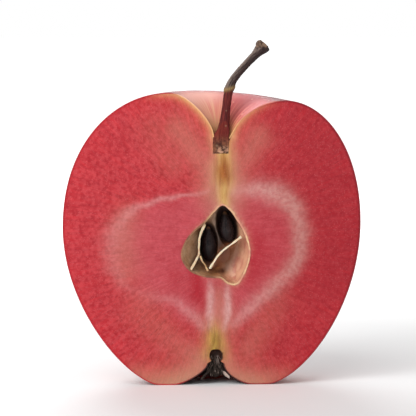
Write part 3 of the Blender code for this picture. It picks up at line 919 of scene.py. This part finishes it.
# Painted shade: dark brown deep behind the cut, a lighter brown under the scoop.
parchment.lay("deep", tint(parchment.mask("scoop"), (44, 28, 24), (150, 86, 48)))
rim = tint(broad, (206, 134, 114), (224, 190, 142))
rim = tint(parchment.mask("pale_rim"), tint(broad, (116, 74, 50), (158, 110, 76)), rim)
parchment.lay("cut_edge", rim)
parchment.relief((0.06, veins), (0.03, fine), (0.05, broad))
parchment.cover(lining)

# Core walls: the papery partitions between the seed chambers, sliced on edge by the knife.
# They grow out of the lining behind them; the flap on the right has sprung loose.
WALL_VOXEL = 0.11
WALL_REACH = 0.5
WALL_DEEPEST = 4.7
WALL_STRETCH = 0.13
WALL_TONE = {"core_wall_left": 0.45, "core_wall_fork": 0.85, "core_membrane": 0.0}

chamber = BVHTree.FromObject(lining, bpy.context.evaluated_depsgraph_get())
film = Paint("core_film", 0.38, Subsurface_Weight=0.15, Subsurface_Scale=0.0008)
creases = film.pattern(MOTTLE, Fineness=800.0, Spread=0.2)
bright = tint(creases, (222, 200, 164), (240, 228, 204))
tanned = tint(creases, (160, 112, 70), (206, 170, 112))
film.colour = tint(film.mask("tone"), bright, tanned)
film.lay("behind", (112, 70, 46))
film.relief((0.04, creases))

for node, tone in WALL_TONE.items():
    wall = copy_of(node, node + "_film")
    remesh(wall, WALL_VOXEL, smooth=1)
    x, depth, z = places_of(wall)
    middle = np.array((x.mean(), z.mean()))
    lengthwise = np.linalg.eigh(np.cov(x, z))[1][:, 1]
    along = (x - middle[0]) * lengthwise[0] + (z - middle[1]) * lengthwise[1]
    along /= np.abs(along).max()
    pull = WALL_STRETCH * np.ptp(z) * along ** 3
    x, z = x + pull * lengthwise[0], z + pull * lengthwise[1]
    put_places(wall, x, depth, z)
    swell(wall, 0.13 * waves(x, 0 * depth, z, 1.3) - 0.05 + 0.12 * along ** 6)
    x, depth, z = places_of(wall)
    front, back = depth.min(), depth.max()
    share = np.clip((depth - front) / (back - front), 0, 1)
    target = []
    for point in zip(x, z):
        start = Vector((point[0] * MM, CUT_Y + front * MM, point[1] * MM))
        hit = chamber.ray_cast(start, Vector((0, 1, 0)))[0]
        target.append(place(hit)[1] + WALL_REACH if hit else back)
    target = np.minimum(target, WALL_DEEPEST)
    deeper = np.maximum(target - back, 0) * share ** 2
    ragged = (0.12 * waves(x, depth, z, 0.9) + 0.12 * along ** 2) * (1 - share)
    bent = 0.22 * waves(x, depth * 0.5, z, 2.0) * (1 - along ** 2)
    put_places(wall, x + bent, np.maximum(depth + deeper + ragged, ON_CUT), z + bent * 0.6)
    write_mask(wall, "behind", smooth_between(0.06, 0.4, share))
    write_mask(wall, "tone", np.clip(tone + 0.3 * waves(x, depth, z, 2.0), 0, 1))
    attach(wall, "root")
    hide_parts(node)
    film.cover(wall)

# Seeds: two ripe pips with hard, dark brown, satin coats, each lying in its chamber with
# its pale pointed end, where it grew, towards the stem.
SEED_NODES = ("seed_left", "seed_right")

coat = Paint("seed_coat", 0.32, Coat_Weight=0.06, Coat_Roughness=0.2, Specular_IOR_Level=0.22)
lines = coat.pattern(STREAKS, coat.grain, Across=6.0, Along=1.5, Spread=0.2)
clouds = coat.pattern(MOTTLE, Fineness=700.0, Spread=0.2)
coat.colour = tint(lines, (22, 14, 17), (48, 30, 28))
coat.lay(clouds, (16, 11, 16), 0.5)
coat.lay("point", (104, 76, 54))
coat.set("Roughness", fade(clouds, 0.0, 1.0, 0.24, 0.40))
coat.relief((0.03, lines), (0.02, clouds))

for node in SEED_NODES:
    seed = copy_of(node, node + "_pip")
    subdivide(seed, 2)
    x, depth, z = places_of(seed)
    middle_x, middle_depth = (x.max() + x.min()) / 2, (depth.max() + depth.min()) / 2
    low, high = z.min(), z.max()
    around = np.arctan2((depth - middle_depth) * 1.6, x - middle_x)
    write_grain(seed, np.cos(around), np.sin(around), (z - low) / 3)
    write_mask(seed, "point", smooth_between(high - 1.0, high - 0.3, z))
    swell(seed, 0.04 * waves(x, depth, z, 1.4))
    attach(seed, "root")
    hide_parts(node)
    coat.cover(seed)

# Stem: the woody stalk the apple hung by. The knife has sliced its foot flush with the cut;
# above the bend it is weathered grey-brown, painted paler grey as a painted highlight on the
# side that faces the daylight, up to the knob where it broke from the twig.
STEM_VOXEL = 0.13
SLICE_TOP_Z = 64.0
FOOT_GRIP = 0.08
LEVEL_STEP = 0.5
RING_X, RING_Z, RING_SLANT, RING_RISE = 4.4, 71.7, 0.25, 0.16
KNOB_Z = 80.6


def from_ring(x, z):
    """How far above the slanting ring at the bend a place lies."""
    return z - RING_Z - RING_SLANT * (x - RING_X)


stem = copy_of("stem", "apple_stem")
remesh(stem, STEM_VOXEL, smooth=1)
x, depth, z = places_of(stem)
levels = np.arange(z.min(), z.max(), LEVEL_STEP)
nearest = np.clip(((z - levels[0]) / LEVEL_STEP).round().astype(int), 0, len(levels) - 1)
count = np.maximum(np.bincount(nearest, minlength=len(levels)), 1)
middle_x = np.interp(z, levels, np.bincount(nearest, x, len(levels)) / count)
middle_depth = np.interp(z, levels, np.bincount(nearest, depth, len(levels)) / count)
around = np.arctan2(depth - middle_depth, x - middle_x)
up = (z - z.min()) / 10
write_grain(stem, np.cos(around), np.sin(around), up)
foot = smooth_between(PIT_Z + 2.0, PIT_Z - 0.6, z)
fill = {}
to_axis = middle_x - PIT_X
sides = {
    "left": (middle_x - x, SOCKET_REACH + FOOT_GRIP + to_axis),
    "right": (x - middle_x, SOCKET_REACH + FOOT_GRIP - to_axis),
    "back": (depth, SOCKET_REACH + FOOT_GRIP),
}
for side, (reach, wanted) in sides.items():
    widest = np.zeros(len(levels))
    np.maximum.at(widest, nearest, reach)
    fill[side] = 1 + foot * (wanted / np.maximum(np.interp(z, levels, widest), 0.5) - 1)
x = middle_x + (x - middle_x) * np.where(x < middle_x, fill["left"], fill["right"])
sunk = (0.35 + 0.3 * waves(x, depth, z * 0, 1.0)) * smooth_between(58.2, 57.0, z)
put_places(stem, x, depth * fill["back"], z - sunk)
x, depth, z = places_of(stem)
cut_face = (depth < 0.16) & (z < SLICE_TOP_Z)
rough = np.array([
    noise.noise(Vector((math.cos(a) * 3, math.sin(a) * 3, b * 6))) for a, b in zip(around, up)
])
rise = 0.10 * rough + 0.05 * waves(x, depth, z, 0.5)
rise += RING_RISE * np.exp(-(from_ring(x, z) / 0.45) ** 2)
rise += smooth_between(KNOB_Z, KNOB_Z + 1.0, z) * (0.22 * waves(x, depth, z, 0.8) - 0.10)
swell(stem, np.where(cut_face, 0, rise * (1 - 0.7 * foot)))
x, depth, z = places_of(stem)
put_places(stem, x, np.where(z < SLICE_TOP_Z + 1, np.maximum(depth, ON_CUT), depth), z)
out = normals_of(stem)
write_mask(stem, "sliced", smooth_between(-0.6, -0.9, out[1]) * (depth < 0.2) * (z < SLICE_TOP_Z))
write_mask(stem, "old_wood", smooth_between(RING_Z - 0.8, RING_Z + 0.6, z))
write_mask(stem, "ring", np.exp(-(from_ring(x, z) / 0.5) ** 2))
# Painted highlight: marks the faces that turn up, to the left and to the front, towards the daylight.
write_mask(stem, "lit_side_highlight", smooth_between(0.25, 0.9, 0.65 * out[2] - 0.7 * out[0] - 0.2 * out[1]))
write_mask(stem, "scar", smooth_between(KNOB_Z + 0.7, KNOB_Z + 1.5, z))
write_mask(stem, "foot_rim", smooth_between(58.3, 57.2, z) * smooth_between(0.5, 2.5, x))
write_mask(stem, "foot_low", smooth_between(61.5, 58.0, z))
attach(stem, "root")
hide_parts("stem")

bark = Paint("apple_stem_bark", 0.66, Specular_IOR_Level=0.2)
ribs = bark.pattern(STREAKS, bark.grain, Across=5.0, Along=3.0, Spread=0.18)
flecks = bark.pattern(MOTTLE, Fineness=1100.0, Spread=0.18)
young = tint(ribs, (64, 14, 18), (112, 38, 34))
old = tint(ribs, (34, 24, 26), (72, 54, 50))
bark.colour = tint(bark.mask("old_wood"), young, old)
# Painted highlight: the old wood is painted paler grey on its side that faces the daylight.
lit_side_highlight = times(bark.mask("lit_side_highlight"), bark.mask("old_wood"))
bark.lay(lit_side_highlight, (138, 120, 110), 0.6)
bark.lay("ring", (150, 122, 78), 0.8)
bark.lay("scar", tint(flecks, (58, 42, 36), (140, 112, 92)))
slice_wood = tint(ribs, (94, 20, 18), (122, 42, 32))
slice_wood = tint(bark.mask("foot_low"), slice_wood, tint(flecks, (58, 30, 22), (130, 78, 54)))
slice_wood = tint(times(bark.mask("foot_rim"), flecks), slice_wood, (206, 158, 128))
bark.lay("sliced", slice_wood)
lenticels = bark.pattern(SPECKS, Fineness=900.0, Size=0.22, Share=0.2)
bark.lay(lenticels, (140, 112, 88), 0.5)
bark.relief((0.10, ribs), (0.05, flecks))
bark.cover(stem)

# Calyx: what is left of the flower. Dried sepals curl out of the tube above the basin, and
# a tuft of withered stamens hangs between them.
SEPAL_VOXEL = 0.12
BLADE_SPREAD, BLADE_PRESS = 1.45, 0.6
SEPAL_NODES = ("sepal_1", "sepal_2", "sepal_3")
BLADES = (
    (26, 2.6, 3.0, 1.9), (47, 2.9, 3.6, 2.2), (68, 2.4, 4.2, 1.9), (90, 3.1, 3.4, 2.3),
    (111, 2.5, 4.2, 2.0), (134, 3.0, 3.7, 2.1), (155, 2.6, 3.1, 1.9),
)
BLADE_ROOT, BLADE_THICK, BLADE_TIP = (1.7, 5.5), 0.12, 0.03
STAMEN_COUNT, STAMEN_SEED = 17, 1
STAMEN_TOP_Z = 7.2
STAMEN_RADIUS, STAMEN_SIDES = 0.075, 6
STAMEN_REACHES = (0.35, 0.95, 0.65)

withered = Paint("withered_calyx", 0.85, Specular_IOR_Level=0.2)
crinkle = withered.pattern(MOTTLE, Fineness=900.0, Spread=0.2)
hairs = withered.pattern(MOTTLE, Fineness=2600.0, Spread=0.15)
withered.colour = tint(crinkle, (22, 18, 18), (62, 50, 44))
withered.lay(hairs, (110, 96, 84), 0.25)
# Pale bits: random pale patches on the extra blades and the stamens, and a painted highlight on the front
# sepal.
withered.lay("pale_bits_and_highlight", (206, 184, 172))
withered.relief((0.10, crinkle), (0.04, hairs))


def flatten_blade(piece):
    """Presses a rounded sepal thin along the way it faces, and spreads it across."""
    points = np.stack(places_of(piece), axis=1)
    centre = points.mean(axis=0)
    lengthwise = np.linalg.eigh(np.cov((points - centre).T))[1][:, 2]
    facing = np.array((centre[0] - EYE_X, max(centre[1], 0.2), 0.0))
    facing -= lengthwise * (facing @ lengthwise)
    facing /= np.linalg.norm(facing)
    wide = np.cross(lengthwise, facing)
    along, across, thick = ((points - centre) @ axis for axis in (lengthwise, wide, facing))
    taper = 1 - 0.45 * (along / np.abs(along).max()) ** 2
    across *= BLADE_SPREAD * taper
    thick = thick * BLADE_PRESS + 0.3 * waves(along * 0.7, across, along * 0, 1.0)
    points = centre + np.outer(along, lengthwise) + np.outer(across, wide) + np.outer(thick, facing)
    put_places(piece, *points.T)


for node in SEPAL_NODES:
    sepal = copy_of(node, node + "_dried")
    remesh(sepal, SEPAL_VOXEL, smooth=1)
    flatten_blade(sepal)
    x, depth, z = places_of(sepal)
    swell(sepal, 0.26 * waves(x, depth, z, 1.1) + 0.12 * waves(x, depth, z, 0.5) - 0.06)
    x, depth, z = places_of(sepal)
    out = np.hypot(x - EYE_X, depth)
    put_places(sepal, x, np.maximum(depth, 0.05), np.maximum(z, 0.15))
    # Painted highlight: the front sepal is painted pale near the cut and away from the tube, as light
    # caught on its edge.
    lit = (node == "sepal_1") * smooth_between(0.75, 0.3, depth) * smooth_between(1.4, 2.4, out)
    write_mask(sepal, "pale_bits_and_highlight", lit * 0.85)
    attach(sepal, "root")
    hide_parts(node)
    withered.cover(sepal)


def dry_blade(turn, reach, droop, width, seed):
    """A shrivelled sepal: a tapering blade that leaves the tube's rim and curls down."""
    alone()
    bpy.ops.mesh.primitive_grid_add(x_subdivisions=4, y_subdivisions=9, size=2)
    blade = bpy.context.object
    across, along, _ = places_of(blade)
    across, along = across * MM, (along * MM + 1) / 2
    half = width / 2 * np.maximum(1 - along, BLADE_TIP) ** 0.6 * (0.8 + 0.5 * np.sin(along * math.pi))
    out = BLADE_ROOT[0] + reach * along + 0.5 * np.sin(along * math.pi)
    rise = BLADE_ROOT[1] - droop * along ** 1.4 + 0.35 * across ** 2 + 0.5 * along ** 4
    crumple = waves(across * 0.6 + seed, along * 4, across * 0, 1.0)
    rise += 0.35 * crumple
    side = across * half + 0.3 * crumple
    x = EYE_X + out * math.cos(turn) - side * math.sin(turn)
    depth = out * math.sin(turn) + side * math.cos(turn)
    put_places(blade, x, np.maximum(depth, 0.45), np.maximum(rise, 0.2))
    modify(blade, "SOLIDIFY", thickness=BLADE_THICK * MM, offset=0)
    subdivide(blade, 2)
    return blade


def join_up(pieces, name):
    """Joins like pieces into one."""
    alone()
    for piece in pieces:
        piece.select_set(True)
    bpy.context.view_layer.objects.active = pieces[0]
    bpy.ops.object.join()
    joined = bpy.context.object
    joined.name = name
    return joined


def grow_thread(start, steps):
    """A thin stalk grown by extruding its end face; a step is (way in mm, new thickness)."""
    alone()
    x, depth, z = start
    bpy.ops.mesh.primitive_circle_add(
        vertices=STAMEN_SIDES, radius=STAMEN_RADIUS * MM, fill_type="NGON",
        location=(x * MM, CUT_Y + depth * MM, z * MM), rotation=(math.pi, 0, 0),
    )
    thread = bpy.context.object
    bpy.ops.object.transform_apply(location=True, rotation=True, scale=True)
    edit(thread)
    for way, thickness in steps:
        bpy.ops.mesh.extrude_region_move(TRANSFORM_OT_translate={"value": Vector(way) * MM})
        bpy.ops.transform.resize(value=(thickness, thickness, 1.0))
    bpy.ops.mesh.select_all(action="SELECT")
    bpy.ops.mesh.normals_make_consistent(inside=False)
    alone()
    return thread


blades = [
    dry_blade(math.radians(turn), reach, droop, width, number * 3.7)
    for number, (turn, reach, droop, width) in enumerate(BLADES)
]
fringe = join_up(blades, "sepal_fringe")
x, depth, z = places_of(fringe)
write_mask(fringe, "pale_bits_and_highlight", 0.5 * smooth_between(0.25, 0.6, waves(x, depth, z, 0.9)))
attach(fringe, "root")
withered.cover(fringe)

noise.seed_set(STAMEN_SEED)
threads = []
for number in range(STAMEN_COUNT):
    turn = math.radians(6 + 168 * number / (STAMEN_COUNT - 1))
    bend = noise.noise_vector(Vector((number * 1.7, 0.3, 0.8)))
    reach = STAMEN_REACHES[number % 3] + 0.25 * bend.z
    top = STAMEN_TOP_Z - 0.35 * (number % 4)
    start = (EYE_X + reach * math.cos(turn), max(reach * math.sin(turn), 0.3), top)
    lean = (0.22 * math.cos(turn), 0.12 * math.sin(turn) + 0.04, -0.70 - 0.3 * bend.x)
    steps = [
        ((lean[0] + 0.8 * bend.y * (part - 2) / 2, lean[1] + 0.2 * abs(bend.y), lean[2]), 0.95)
        for part in range(1, 6)
    ]
    steps += [((0.05, 0, -0.10), 2.2), ((0, 0, -0.26), 1.1), ((0, 0, -0.12), 0.3)]
    threads.append(grow_thread(start, steps))
stamens = join_up(threads, "stamen_tuft")
subdivide(stamens, 1)
bpy.ops.object.shade_smooth()
x, depth, z = places_of(stamens)
write_mask(stamens, "pale_bits_and_highlight", 0.35 * smooth_between(-0.1, 0.4, waves(x, depth, z * 0.3, 0.8)))
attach(stamens, "root")
withered.cover(stamens)
